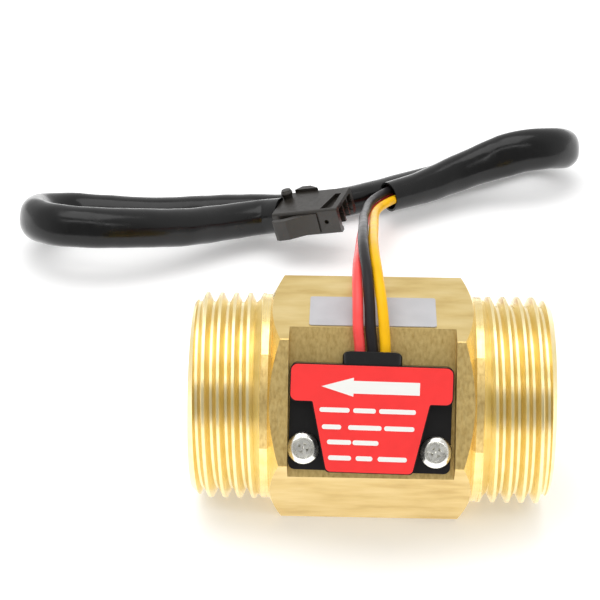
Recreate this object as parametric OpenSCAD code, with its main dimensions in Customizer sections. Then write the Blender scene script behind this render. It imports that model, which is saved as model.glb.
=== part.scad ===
// Turbine water flow sensor for a one inch pipe.
// Millimetres. The pipe axis runs along X, water enters at +X and leaves at -X,
// and the hexagonal middle rests with one flat on z = 0.

/* [Brass body] */
// Length of the body from end to end
body_length = 57; // [54:0.5:70]
// Width of the hexagon across its flats
hex_af = 34; // [34:0.25:38]
// Length of the hexagon at the middle of a flat
hex_length = 31.6; // [29:0.2:34]
// Angle of the turned chamfers at the ends of the hexagon
hex_chamfer = 31; // [20:1:40]
// Outside diameter of the pipe thread
thread_d = 33.25; // [32:0.05:33.8]
// Depth of the thread
thread_depth = 1.48; // [0.8:0.02:1.6]
// Distance from one thread crest to the next
thread_pitch = 2.31; // [1.5:0.01:2.5]
// Width of the flat land on each crest
crest_land = 0.5; // [0.2:0.05:0.8]
// Length of the smooth collar between the hexagon and the first thread groove
collar_length = 1.32; // [0.8:0.02:2]
// Diameter of the smooth collar
collar_d = 33; // [31:0.1:33.4]
// Chamfer at the outer edge of each pipe end
end_chamfer = 1.5; // [0.5:0.1:1.8]
// Chamfer at the mouth of each bore
mouth_chamfer = 0.8; // [0.3:0.1:1.2]

/* [Water way] */
// Bore from the inlet end to the flow guide
inlet_bore = 23.4; // [23.2:0.1:23.8]
// Bore of the chamber that the rotor turns in
chamber_bore = 22; // [21:0.1:22.8]
// Bore from the rear support to the outlet end
outlet_bore = 19.6; // [17:0.1:20]
// Distance between the two rotor supports
chamber_length = 17; // [16:0.5:19]
// Radial play of a piece that is pushed into the brass
push_gap = 0.05; // [0.02:0.01:0.1]

/* [Rotor] */
// Number of rotor blades
blade_count = 6; // [3:1:8]
// Thickness of a blade
blade_t = 1.1; // [0.8:0.1:1.6]
// Length of the blades along the axis
blade_length = 11; // [8:0.5:12]
// Turn of a blade from its front to its back edge
blade_twist = 45; // [20:5:60]
// Radial gap between the blade tips and the chamber
tip_gap = 0.6; // [0.4:0.1:1]
// Diameter of the rotor hub
rotor_hub_d = 7; // [5:0.1:8]
// Play between the rotor and each bearing
end_float = 0.3; // [0.15:0.05:0.5]
// Diameter of the rotor shaft
shaft_d = 1.5; // [1.2:0.1:2]
// Radial running gap between the shaft and its bearings
running_gap = 0.04; // [0.02:0.01:0.08]
// Diameter of a rotor magnet
magnet_d = 3; // [2:0.1:3.4]
// Length of a rotor magnet
magnet_l = 3; // [2:0.1:4]
// Distance of the magnets from the axis
magnet_r = 7.6; // [7:0.1:7.8]

/* [Rotor supports] */
// Length of the outer ring of the inlet guide
guide_length = 6; // [4:0.5:7]
// Length of the outer ring of the rear support
support_length = 5; // [4:0.5:6]
// Wall of the two outer rings
ring_wall = 1.2; // [0.8:0.1:1.5]
// Diameter of the hubs that hold the bearings
hub_d = 7; // [6:0.1:8]
// Thickness of the spokes and vanes
vane_t = 1.2; // [0.8:0.1:2]
// Number of spokes of the rear support
spoke_count = 3; // [3:1:5]
// Number of vanes of the inlet guide
vane_count = 5; // [3:1:6]
// Outside diameter of a bearing
bearing_d = 4; // [3.4:0.1:4.6]
// Length of a bearing
bearing_l = 2.6; // [2:0.1:3]
// Thickness of the retaining ring
clip_t = 1.2; // [0.8:0.1:1.5]
// Depth of the groove that holds the retaining ring
clip_groove = 0.8; // [0.5:0.1:1]
// Width of the retaining ring
clip_w = 1.9; // [1.4:0.1:2.2]
// Angle of the gap in the retaining ring
clip_gap = 44; // [30:2:60]
// Diameter of the eyes of the retaining ring
clip_eye_d = 1.1; // [0.8:0.1:1.3]

/* [Sensor housing] */
// Distance of the pocket floor from the pipe axis
pocket_floor = 13.8; // [13.4:0.1:14.2]
// Width of the pocket along the pipe
pocket_w = 25.8; // [25.4:0.1:27]
// Gap between the housing and each side of the pocket
housing_gap = 0.4; // [0.35:0.05:0.5]
// Shift of the housing in its pocket along the pipe
housing_shift = -0.15; // [-0.15:0.05:0.15]
// Turn of the housing in its pocket
housing_turn = -0.9; // [-0.9:0.1:0.9]
// Height of the housing up the face
housing_h = 16.6; // [15.5:0.1:17]
// Distance from the pipe centre up the face to the top of the housing
housing_top = 6.1; // [5.8:0.1:6.6]
// Thickness of the housing at its label
housing_t = 4.4; // [4:0.1:5]
// Thickness of the two screw flanges
flange_t = 1.4; // [1:0.1:2]
// Height of the full width bar at the top of the housing
bar_h = 5.9; // [5:0.1:7]
// Width of the raised middle just below the bar
middle_top_w = 18.2; // [17:0.1:19]
// Width of the raised middle at its foot
middle_foot_w = 13.4; // [12.5:0.1:14]
// Wall of the housing
housing_wall = 1.2; // [0.8:0.1:1.3]
// Rounding of the housing corners
housing_round = 1; // [0.3:0.1:1.4]
// Distance between the two screws
screw_spacing = 20.4; // [20:0.1:20.6]
// Distance from the foot of the housing to the screws
screw_edge = 3.4; // [3:0.1:4]
// Diameter of a screw head
screw_head_d = 4.75; // [4:0.05:4.75]
// Height of a screw head
screw_head_h = 1.6; // [1.2:0.1:2]
// Diameter of a screw thread
screw_d = 2.5; // [2:0.1:2.6]
// Length of a screw below its head
screw_l = 3.6; // [3:0.1:3.8]

/* [Board and labels] */
// Thickness of the circuit board
board_t = 1; // [0.8:0.1:1.2]
// Gap between the circuit board and the pocket floor
board_lift = 0.3; // [0.2:0.1:0.5]
// Play around the circuit board
board_gap = 0.2; // [0.1:0.05:0.3]
// Width of the ledge that the board lies against
board_ledge = 0.8; // [0.4:0.1:1]
// Width of the Hall sensor along the pipe
hall_w = 4.1; // [3:0.1:4.4]
// Height of the Hall sensor up the face
hall_h = 3; // [2.5:0.1:3.4]
// Thickness of the Hall sensor
hall_t = 1.5; // [1.2:0.1:1.6]
// Play around the Hall sensor in its well
hall_gap = 0.4; // [0.2:0.1:0.6]
// Thickness of the flow label
label_t = 0.25; // [0.1:0.05:0.4]
// Margin between the flow label and the edge of the raised face
label_margin = 0.15; // [0.1:0.05:0.5]
// Width of the silver label along the pipe
silver_w = 19.8; // [15:0.1:22]
// Height of the silver label across the top flat
silver_h = 8.6; // [6:0.1:9]
// Thickness of the silver label
silver_t = 0.15; // [0.1:0.05:0.3]
// Gap between the silver label and the edge of the pocket
silver_gap = 0.4; // [0.2:0.1:2]

/* [Wires and sleeve] */
// Diameter of a wire
wire_d = 1.7; // [1.4:0.1:1.9]
// Distance between neighbouring wires in the gland
wire_spacing = 1.95; // [1.92:0.01:2.2]
// Width of the gland
gland_w = 9.2; // [8:0.1:10]
// Height of the gland above the housing
gland_h = 2; // [1.5:0.1:3]
// Length of each wire inside the housing
wire_tail = 2.2; // [1.6:0.1:3]
// Outside diameter of the cable sleeve
sleeve_d = 7.6; // [6:0.1:7.6]

/* [Wire connector] */
// Length of the connector
plug_l = 13.8; // [13:0.1:17]
// Width of the connector
plug_w = 10; // [9.5:0.1:11]
// Height of the connector
plug_h = 5.4; // [5.4:0.1:6]
// Distance between neighbouring terminals
terminal_pitch = 2.7; // [2.6:0.05:2.9]
// Size of a terminal cavity across its flats
cavity_af = 1.7; // [1.5:0.05:1.8]
// Wall of a terminal
terminal_wall = 0.25; // [0.2:0.05:0.3]
// Length of a terminal
terminal_l = 7; // [5:0.1:8]
// Distance from the front of the connector to its terminals
terminal_set = 1.5; // [0.5:0.1:3]
// Length of the latch lever
lever_l = 8.9; // [7:0.1:10]
// Distance that the latch lever stands out from the side
lever_reach = 2.4; // [2:0.1:2.8]
// Width of the latch lever
lever_w = 4.2; // [3:0.1:4.8]

/* [Hidden] */
$fn = 64;

// Brass body
axis_z = hex_af / 2;
hex_ac = hex_af / cos(30);
thread_r = thread_d / 2;
root_r = thread_r - thread_depth;
collar_x = hex_length / 2 + (hex_af - collar_d) / 2 * tan(hex_chamfer) + collar_length;
root_land = 0.4;
collar_ease = 0.2;
flank_run = (thread_pitch - crest_land - root_land) / 2;
ridge_count = ceil((body_length / 2 - collar_x) / thread_pitch);

// Water way
step_x = chamber_length / 2;
shoulder_x = step_x + support_length;
clip_x = step_x + guide_length;
bore_end = body_length / 2 + 1;
bearing_bore = shaft_d + 2 * running_gap;
shaft_l = chamber_length + 2 * bearing_l - 2 * end_float;
rotor_l = chamber_length - 2 * end_float;
rotor_tip_r = chamber_bore / 2 - tip_gap;
magnet_wall = 0.8;
magnet_pod_l = magnet_l + magnet_wall;
guide_od = inlet_bore - 2 * push_gap;
support_od = chamber_bore - 2 * push_gap;
nose_l = 3;
support_nose_l = 1;
vane_inset = 0.4;

// Sensor housing, in the frame of the face that carries it
housing_w = pocket_w - 2 * housing_gap;
housing_foot = housing_top - housing_h;
face_top = pocket_floor + housing_t;
flange_top = pocket_floor + flange_t;
bar_foot = housing_top - bar_h;
pocket_half_h = hex_ac / 4 + (hex_af / 2 - pocket_floor) * tan(30);
middle_radii = [1, 1, 0.3, 0.8, 0.8, 0.3, 1, 1] * housing_round;
cavity_w = middle_foot_w - 2 * housing_wall;
cavity_top = housing_top - housing_wall;
cavity_foot = housing_foot + housing_wall;
screw_y = housing_foot + screw_edge;
board_w = cavity_w - 2 * board_gap;
board_h = cavity_top - cavity_foot - 2 * board_gap;
board_z = pocket_floor + board_lift;
board_top = board_z + board_t;
roof_z = face_top - housing_wall;
tap_d = screw_d + 0.1;
tap_depth = screw_l - flange_t + 0.3;
flange_hole = screw_d + 0.3;
well_round = 0.5;
lead_pitch = 1.27;
lead_hole = 0.7;
lead_y = hall_h / 2 + 0.9;

// Gland and wires
wire_level = board_top + wire_d / 2 + 0.05;
gland_round = 0.9;
gland_foot = pocket_floor + 0.3;
gland_top = face_top - 0.5;
slot_w = 3 * wire_spacing + 1.2;
slot_half = wire_d / 2 + 0.35;
neck_gap = 0.1;
wire_hole = wire_d + 0.08;
wire_start = cavity_top - wire_tail;
lip_t = 0.8;
lip_w = min(slot_w + 0.8, cavity_w - 2 * board_ledge - 2 * neck_gap);

// Connector
plug_yaw = -16;
plug_pitch = 15;
plug_rear = [-17.5, 79.5, 7.4];
plug_dir = [cos(plug_pitch) * cos(plug_yaw), cos(plug_pitch) * sin(plug_yaw), sin(plug_pitch)];
terminal_af = cavity_af - 0.1;

// Routes of the free cords. Each wire starts beside the board, passes the gland and arches
// over the body to the mouth of the sleeve. The sleeve folds twice and ends at the connector.
sleeve_route = [
    [4, 90, 6.5], [11, 94.5, 6.6], [18, 98.8, 7.6], [25, 101.5, 9.3], [31.5, 102, 11.4],
    [38, 104.2, 11.2], [41.8, 109.2, 8.7], [40.3, 114.8, 5.8], [33.8, 116.2, 4.1], [25, 111, 3.9],
    [16, 106, 3.9], [8, 101.4, 3.9], [0, 96.6, 3.9], [-9, 92.3, 3.9], [-20, 88.9, 3.9],
    [-32, 86.7, 3.9], [-44, 84.9, 3.9], [-54, 85.3, 3.9], [-61.5, 84.6, 4.6], [-66.3, 79.6, 6.8],
    [-66.3, 72.5, 9.6], [-61.5, 67, 11.3], [-54, 65.8, 11.4], [-45, 68.4, 10], [-37, 72.6, 8],
    [-29.6, 77.7, 6.4], plug_rear - 5 * plug_dir, plug_rear
];
function unit(v) = v / norm(v);
mouth_dir = unit(sleeve_route[1] - sleeve_route[0]);
mouth_side = unit(cross([0, 0, 1], mouth_dir));
function in_mouth(side, up) =
    let (m = sleeve_route[0] + side * mouth_side + up * cross(mouth_dir, mouth_side))
    [m - mouth_dir, m + wire_d * mouth_dir];
function on_housing_point(p) =
    let (
        x = housing_shift + p[0] * cos(housing_turn) - p[1] * sin(housing_turn),
        y = p[0] * sin(housing_turn) + p[1] * cos(housing_turn)
    )
    [x, y * sin(30) - p[2] * cos(30), axis_z + y * cos(30) + p[2] * sin(30)];
wire_exit = housing_top + gland_h;
function inside_housing(x) = [for (y = [wire_start, wire_exit]) on_housing_point([x, y, wire_level])];
red_route = concat(
    inside_housing(-wire_spacing),
    [[-2.3, -8, 35], [-2.4, -5, 37.5], [-2.5, 0, 39.1], [-2.4, 6, 38.8], [-2.1, 13, 37.1],
     [-1.9, 22, 34], [-1.7, 33, 29], [-1.5, 45, 23.2], [-1.2, 57, 17.5], [-0.9, 68, 12.7],
     [-0.5, 78, 8.8], [-0.1, 84.5, 6.6], [0.9, 88.5, 5.7]],
    in_mouth(1, -1.1));
black_route = concat(
    inside_housing(0),
    [[-0.4, -8, 35], [-0.6, -5, 37.8], [-1, 0, 40.1], [-1.5, 6, 40.5], [-1.7, 13, 39.2],
     [-1.6, 22, 36.1], [-1.5, 33, 31.1], [-1.4, 45, 25.3], [-1.3, 57, 19.6], [-0.8, 68, 14.8],
     [-0.3, 78, 10.9], [0.1, 84.2, 8.9], [0.9, 88.6, 7.8]],
    in_mouth(1.2, 0.9));
yellow_route = concat(
    inside_housing(wire_spacing),
    [[1.7, -8, 35], [1.3, -5, 37.8], [0.7, 0, 39.6], [0.2, 6, 39.8], [0, 13, 38.4],
     [0.1, 22, 35.3], [0.3, 33, 30.6], [0.5, 45, 24.8], [0.7, 57, 19.1], [1, 68, 14.3],
     [1.6, 78, 9.9], [1.8, 83, 8], [2.4, 86.7, 6.8]],
    in_mouth(-1, -0.2));

// Turns the frame to the face that carries the sensor: x along the pipe, y up the face, z outward
module on_face() {
    translate([0, 0, axis_z]) rotate([60, 0, 0]) children();
}

// The same for the housing and all that it carries, which sit a little askew in the pocket
module on_housing() {
    on_face() translate([housing_shift, 0, 0]) rotate([0, 0, housing_turn]) children();
}

// Lays what is drawn along Z onto the pipe axis, with +Z towards the inlet
module on_axis(x = 0) {
    translate([x, 0, axis_z]) rotate([0, 90, 0]) children();
}

// Turns the frame to the connector: origin in the middle of its rear end, x towards its front
module on_plug() {
    translate(plug_rear) rotate([0, -plug_pitch, plug_yaw]) children();
}

// Outline through pts with each corner rounded by its own radius
function corner(a, b, c, r, steps = 5) =
    let (
        u = (a - b) / norm(a - b),
        v = (c - b) / norm(c - b),
        half = acos(u * v) / 2,
        reach = r / tan(half),
        m = b + (u + v) / norm(u + v) * (r / sin(half)),
        p = b + u * reach - m,
        q = b + v * reach - m,
        turn = 180 - 2 * half,
        dir = (p[0] * q[1] - p[1] * q[0]) > 0 ? 1 : -1
    )
    [for (i = [0 : steps]) let (t = dir * turn * i / steps)
        m + [p[0] * cos(t) - p[1] * sin(t), p[0] * sin(t) + p[1] * cos(t)]];

function rounded(pts, radii) = [
    for (i = [0 : len(pts) - 1])
        each corner(pts[(i + len(pts) - 1) % len(pts)], pts[i], pts[(i + 1) % len(pts)], radii[i])
];

module rounded_rect(w, h, r) {
    polygon(rounded([[-w / 2, -h / 2], [w / 2, -h / 2], [w / 2, h / 2], [-w / 2, h / 2]], [r, r, r, r]));
}

// Closed skin over a row of rings, each with its points counted the same way
module skin(rings) {
    n = len(rings[0]);
    last = (len(rings) - 1) * n;
    polyhedron(
        points = [for (ring = rings) each ring],
        faces = concat(
            [[for (k = [0 : n - 1]) k]],
            [[for (k = [0 : n - 1]) last + n - 1 - k]],
            [for (i = [0 : len(rings) - 2], k = [0 : n - 1])
                let (a = i * n + k, b = i * n + (k + 1) % n)
                each [[a, a + n, b + n], [a, b + n, b]]]
        ),
        convexity = 6
    );
}

// Tube of round section swept along a list of points
function tangent(path, i) =
    i == 0 ? unit(path[1] - path[0]) :
    i == len(path) - 1 ? unit(path[i] - path[i - 1]) :
    unit(unit(path[i + 1] - path[i]) + unit(path[i] - path[i - 1]));
function carried(side, t) = unit(side - t * (side * t));
function sides_along(path, i = 0, side = [0.3, 0.2, 1]) =
    i == len(path) ? [] :
    let (s = carried(side, tangent(path, i))) concat([s], sides_along(path, i + 1, s));

module swept_tube(path, d, n) {
    sides = sides_along(path);
    skin([
        for (i = [0 : len(path) - 1])
            let (a = sides[i], b = cross(tangent(path, i), a))
            [for (k = [0 : n - 1]) path[i] + d / 2 * (cos(360 * k / n) * a + sin(360 * k / n) * b)]
    ]);
}

// One end of the body about Z: the collar, the ridges of the thread and the chamfered end
module threaded_end() {
    top = body_length / 2;
    foot = hex_length / 2 - 1;
    out_r = max(thread_r, collar_d / 2) + 1;
    last = collar_x + ridge_count * thread_pitch + 1;
    ridges = [
        for (k = [0 : ridge_count - 1])
            let (z = collar_x + root_land + k * thread_pitch)
            each [[root_r, z], [thread_r, z + flank_run], [thread_r, z + flank_run + crest_land],
                  [root_r, z + 2 * flank_run + crest_land]]
    ];
    intersection() {
        rotate_extrude() polygon(concat(
            [[0, 0], [root_r, 0], [root_r, foot], [collar_d / 2, foot]],
            [[collar_d / 2, collar_x], [root_r, collar_x + collar_ease]],
            ridges, [[root_r, last], [0, last]]
        ));
        rotate_extrude() polygon([
            [0, -1], [out_r, -1], [out_r, top - end_chamfer + thread_r - out_r],
            [thread_r - end_chamfer, top], [0, top]
        ]);
    }
}

// Hexagon with its two ends turned to shallow cones
module hexagon_middle() {
    in_r = collar_d / 2 - 1;
    out_r = hex_ac / 2 + 1;
    tip = hex_length / 2 + (hex_af / 2 - in_r) * tan(hex_chamfer);
    edge = hex_length / 2 - (out_r - hex_af / 2) * tan(hex_chamfer);
    intersection() {
        rotate([0, 0, 30]) cylinder(h = 2 * tip, d = hex_ac, center = true, $fn = 6);
        rotate_extrude() polygon([
            [0, -tip], [in_r, -tip], [out_r, -edge], [out_r, edge], [in_r, tip], [0, tip]
        ]);
    }
}

// Stepped water way with a groove for the retaining ring and a chamfer at each mouth
module water_way() {
    end = body_length / 2;
    rotate_extrude() polygon([
        [0, -bore_end],
        [outlet_bore / 2 + mouth_chamfer + 1, -bore_end],
        [outlet_bore / 2, -end + mouth_chamfer],
        [outlet_bore / 2, -shoulder_x],
        [chamber_bore / 2, -shoulder_x],
        [chamber_bore / 2, step_x],
        [inlet_bore / 2, step_x],
        [inlet_bore / 2, clip_x],
        [inlet_bore / 2 + clip_groove, clip_x],
        [inlet_bore / 2 + clip_groove, clip_x + clip_t],
        [inlet_bore / 2, clip_x + clip_t],
        [inlet_bore / 2, end - mouth_chamfer],
        [inlet_bore / 2 + mouth_chamfer + 1, bore_end],
        [0, bore_end]
    ]);
}

module at_screws() {
    for (side = [-1, 1]) translate([side * screw_spacing / 2, screw_y, 0]) children();
}

module body() {
    color("goldenrod") difference() {
        on_axis() union() {
            hexagon_middle();
            threaded_end();
            mirror([0, 0, 1]) threaded_end();
        }
        on_axis() water_way();
        on_face() translate([-pocket_w / 2, -hex_ac, pocket_floor]) cube([pocket_w, 2 * hex_ac, hex_af]);
        on_housing() {
            translate([0, 0, pocket_floor - hall_t])
                linear_extrude(hex_af) rounded_rect(hall_w + 2 * hall_gap, hall_h + 2 * hall_gap, well_round);
            at_screws() translate([0, 0, pocket_floor - tap_depth]) cylinder(h = hex_af, d = tap_d);
        }
    }
}

// Outer ring, hub and straight vanes shared by the two rotor supports, from z = 0 upward.
// The hub ends in a rounded nose of the given length.
module carrier(od, length, count, turn, nose) {
    id = od - 2 * ring_wall;
    sink = ring_wall / 2;
    difference() {
        cylinder(h = length, d = od);
        translate([0, 0, -1]) cylinder(h = length + 2, d = id);
    }
    for (k = [0 : count - 1]) rotate([0, 0, turn + 360 * k / count])
        translate([hub_d / 2 - sink, -vane_t / 2, vane_inset])
            cube([(id - hub_d) / 2 + 2 * sink, vane_t, length - 2 * vane_inset]);
    rotate_extrude() polygon(concat(
        [[0, 0], [hub_d / 2, 0]],
        [for (t = [0 : 15 : 90]) [hub_d / 2 * cos(t), length + nose * sin(t)]]
    ));
}

module inlet_guide() {
    color("white") on_axis(step_x) difference() {
        carrier(guide_od, guide_length, vane_count, 90, nose_l);
        translate([0, 0, -1]) cylinder(h = bearing_l + 1, d = bearing_d);
    }
}

module outlet_support() {
    color("white") on_axis(-step_x) mirror([0, 0, 1]) difference() {
        carrier(support_od, support_length, spoke_count, 180, support_nose_l);
        translate([0, 0, -1]) cylinder(h = bearing_l + 1, d = bearing_d);
    }
}

module bearing() {
    difference() {
        cylinder(h = bearing_l, d = bearing_d);
        translate([0, 0, -1]) cylinder(h = bearing_l + 2, d = bearing_bore);
    }
}

module inlet_bearing() {
    color("dimgray") on_axis(step_x) bearing();
}

module outlet_bearing() {
    color("dimgray") on_axis(-step_x) mirror([0, 0, 1]) bearing();
}

module rotor_shaft() {
    color("silver") on_axis(-shaft_l / 2) cylinder(h = shaft_l, d = shaft_d);
}

// Helical blade along Z that stands at the given angle halfway along its length
module blade(angle) {
    steps = 8;
    in_r = rotor_hub_d / 2 - 0.8;
    half_t = blade_t / 2;
    section = [[in_r, -half_t], [rotor_tip_r, -half_t], [rotor_tip_r, half_t], [in_r, half_t]];
    skin([
        for (i = [0 : steps])
            let (a = angle + blade_twist * (i / steps - 0.5), c = cos(a), s = sin(a))
            [for (p = section) [p[0] * c - p[1] * s, p[0] * s + p[1] * c, blade_length * i / steps]]
    ]);
}

// Places what is drawn at the two magnets, which sit in opposite blades
module at_magnet(side) {
    on_axis(-magnet_pod_l / 2) rotate([0, 0, 90 + side * 90]) translate([magnet_r, 0, 0]) children();
}

module rotor() {
    color("ivory") difference() {
        union() {
            on_axis(-rotor_l / 2) cylinder(h = rotor_l, d = rotor_hub_d);
            on_axis(-blade_length / 2) for (k = [0 : blade_count - 1]) blade(360 * k / blade_count);
            for (side = [-1, 1]) at_magnet(side) cylinder(h = magnet_pod_l, d = magnet_d + 2 * magnet_wall);
        }
        on_axis(-rotor_l) cylinder(h = 2 * rotor_l, d = shaft_d);
        for (side = [-1, 1]) at_magnet(side) translate([0, 0, -1]) cylinder(h = magnet_l + 1, d = magnet_d);
    }
}

module magnet_front() {
    color("gray") at_magnet(1) cylinder(h = magnet_l, d = magnet_d);
}

module magnet_rear() {
    color("gray") at_magnet(-1) cylinder(h = magnet_l, d = magnet_d);
}

// Open spring ring with two eyes for pliers, its gap at the top
module retaining_ring() {
    out_r = inlet_bore / 2 + clip_groove - 0.1;
    lug_d = clip_eye_d + 1.8;
    lug_r = out_r - lug_d / 2 - 0.2;
    color("silver") on_axis(clip_x) difference() {
        union() {
            rotate([0, 0, 180 + clip_gap / 2]) rotate_extrude(angle = 360 - clip_gap)
                translate([out_r - clip_w, 0]) square([clip_w, clip_t]);
            for (side = [-1, 1]) rotate([0, 0, 180 + side * clip_gap / 2])
                translate([lug_r, 0, 0]) cylinder(h = clip_t, d = lug_d);
        }
        for (side = [-1, 1]) rotate([0, 0, 180 + side * clip_gap / 2])
            translate([lug_r, 0, -1]) cylinder(h = clip_t + 2, d = clip_eye_d);
    }
}

// Outline of the raised T, inset by m
function raised_outline(m) = rounded([
    [-housing_w / 2 + m, housing_top - m], [-housing_w / 2 + m, bar_foot + m],
    [-middle_top_w / 2 + m, bar_foot + m], [-middle_foot_w / 2 + m, housing_foot + m],
    [middle_foot_w / 2 - m, housing_foot + m], [middle_top_w / 2 - m, bar_foot + m],
    [housing_w / 2 - m, bar_foot + m], [housing_w / 2 - m, housing_top - m]
], middle_radii);

// Raised T of the housing, with the two flanges that the screws hold down below its bar
module sensor_housing() {
    hollow_w = (housing_w - cavity_w) / 2 - 2 * housing_wall;
    hollow_round = 0.4;
    color("#222222") on_housing() difference() {
        union() {
            translate([0, 0, pocket_floor]) linear_extrude(housing_t) polygon(raised_outline(0));
            translate([0, (housing_top + housing_foot) / 2, pocket_floor]) linear_extrude(flange_t)
                rounded_rect(housing_w, housing_h, housing_round);
        }
        // Space for the board, narrower above it so that the board lies against a ledge
        translate([-cavity_w / 2, cavity_foot, pocket_floor - 1])
            cube([cavity_w, cavity_top - cavity_foot, board_top - pocket_floor + 1]);
        translate([-cavity_w / 2 + board_ledge, cavity_foot, pocket_floor])
            cube([cavity_w - 2 * board_ledge, cavity_top - cavity_foot, roof_z - pocket_floor]);
        // Moulded hollows behind the ends of the bar
        for (side = [-1, 1])
            translate([side * (cavity_w / 2 + housing_w / 2) / 2, bar_foot + bar_h / 2, pocket_floor - 1])
                linear_extrude(roof_z - pocket_floor + 1)
                    rounded_rect(hollow_w, bar_h - 2 * housing_wall, hollow_round);
        // Slot in the top wall that the gland is pushed into
        translate([-slot_w / 2, cavity_top - 1, pocket_floor - 1])
            cube([slot_w, housing_wall + 2, wire_level + slot_half - pocket_floor + 1]);
        at_screws() translate([0, 0, pocket_floor - 1]) cylinder(h = housing_t, d = flange_hole);
    }
}

module circuit_board() {
    color("green") on_housing() translate([0, 0, board_z]) difference() {
        translate([-board_w / 2, cavity_foot + board_gap, 0]) cube([board_w, board_h, board_t]);
        for (k = [-1 : 1]) translate([k * lead_pitch, lead_y, -1]) cylinder(h = board_t + 2, d = lead_hole);
    }
}

module hall_sensor() {
    color("#1a1a1a") on_housing()
        translate([-hall_w / 2, -hall_h / 2, board_z - hall_t]) cube([hall_w, hall_h, hall_t]);
}

// Pan head screw with a cross recess, its head resting on the flange
module screw(x) {
    head_r = screw_head_d / 2;
    rim_h = 0.6;
    tip_l = 0.4;
    cross_l = 2.6;
    cross_w = 0.6;
    cross_depth = 1;
    cross_turn = 20;
    cross_z = screw_head_h - cross_depth;
    on_housing() translate([x, screw_y, flange_top]) difference() {
        union() {
            rotate_extrude() polygon(concat(
                [[0, 0], [head_r, 0]],
                [for (t = [0 : 15 : 90]) [head_r * cos(t), rim_h + (screw_head_h - rim_h) * sin(t)]]
            ));
            translate([0, 0, tip_l - screw_l]) cylinder(h = screw_l, d = screw_d);
            translate([0, 0, -screw_l]) cylinder(h = tip_l, d1 = screw_d - 2 * tip_l, d2 = screw_d);
        }
        for (turn = [0, 90]) rotate([0, 0, turn + cross_turn])
            translate([-cross_l / 2, -cross_w / 2, cross_z]) cube([cross_l, cross_w, 2 * cross_depth]);
        translate([0, 0, cross_z]) cylinder(h = 2 * cross_depth, d1 = cross_w, d2 = cross_l);
    }
}

module screw_left() {
    color("silver") screw(-screw_spacing / 2);
}

module screw_right() {
    color("silver") screw(screw_spacing / 2);
}

// Rubber block outside the top wall, with a neck in the slot and a lip behind it
module wire_gland() {
    mid = (gland_foot + gland_top) / 2;
    color("#2b2b2b") on_housing() difference() {
        union() {
            translate([0, housing_top, mid]) rotate([-90, 0, 0])
                linear_extrude(gland_h) rounded_rect(gland_w, gland_top - gland_foot, gland_round);
            translate([-slot_w / 2 + neck_gap, cavity_top, wire_level - slot_half])
                cube([slot_w - 2 * neck_gap, housing_wall, 2 * slot_half - neck_gap]);
            translate([-lip_w / 2, cavity_top - lip_t, board_top + neck_gap / 2])
                cube([lip_w, lip_t, roof_z - board_top - neck_gap]);
        }
        for (k = [-1 : 1]) translate([k * wire_spacing, wire_start, wire_level]) rotate([-90, 0, 0])
            cylinder(h = wire_exit - wire_start + 1, d = wire_hole);
    }
}

// Sticker that covers the raised T
module flow_label() {
    color("crimson") on_housing() translate([0, 0, face_top]) linear_extrude(label_t)
        polygon(raised_outline(label_margin));
}

// Sticker on the top flat, just behind the pocket
module silver_label() {
    edge_y = pocket_half_h * sin(30) - pocket_floor * cos(30);
    corner_r = 0.4;
    color("gainsboro") translate([0, edge_y + silver_gap + silver_h / 2, hex_af])
        linear_extrude(silver_t) rounded_rect(silver_w, silver_h, corner_r);
}

module red_wire() {
    color("red") swept_tube(red_route, wire_d, 8);
}

module black_wire() {
    color("#1c1c1c") swept_tube(black_route, wire_d, 8);
}

module yellow_wire() {
    color("gold") swept_tube(yellow_route, wire_d, 8);
}

module cable_sleeve() {
    color("#151515") swept_tube(sleeve_route, sleeve_d, 12);
}

// Places what is drawn at each terminal cavity: -1 nearest the lever, 0 and 1
module at_cavity(k) {
    translate([0, k * terminal_pitch, 0]) rotate([0, 90, 0]) rotate([0, 0, 45]) children();
}

module square_bar(af, l) {
    translate([-af / 2, -af / 2, 0]) cube([af, af, l]);
}

// Bent latch lever, flat in x and y, that grows from a side at y = 0 and bends away from it
module lever() {
    tip_x = 0.6;
    root_x = tip_x + lever_l;
    linear_extrude(lever_w, center = true) polygon([
        [root_x, 0.4], [root_x, -0.4], [root_x - 2.3, -0.6], [tip_x + 2.9, 0.2 - lever_reach],
        [tip_x + 0.8, -lever_reach], [tip_x, 0.4 - lever_reach], [tip_x, 1 - lever_reach],
        [tip_x + 2.3, 1.2 - lever_reach], [root_x - 3.2, 0.4]
    ]);
}

// Wedge on the far side that the mating half clicks behind
module latch_wedge() {
    linear_extrude(1.2) polygon([[0, 0], [5, 0], [3, 1.4], [1.2, 1.4]]);
}

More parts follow.
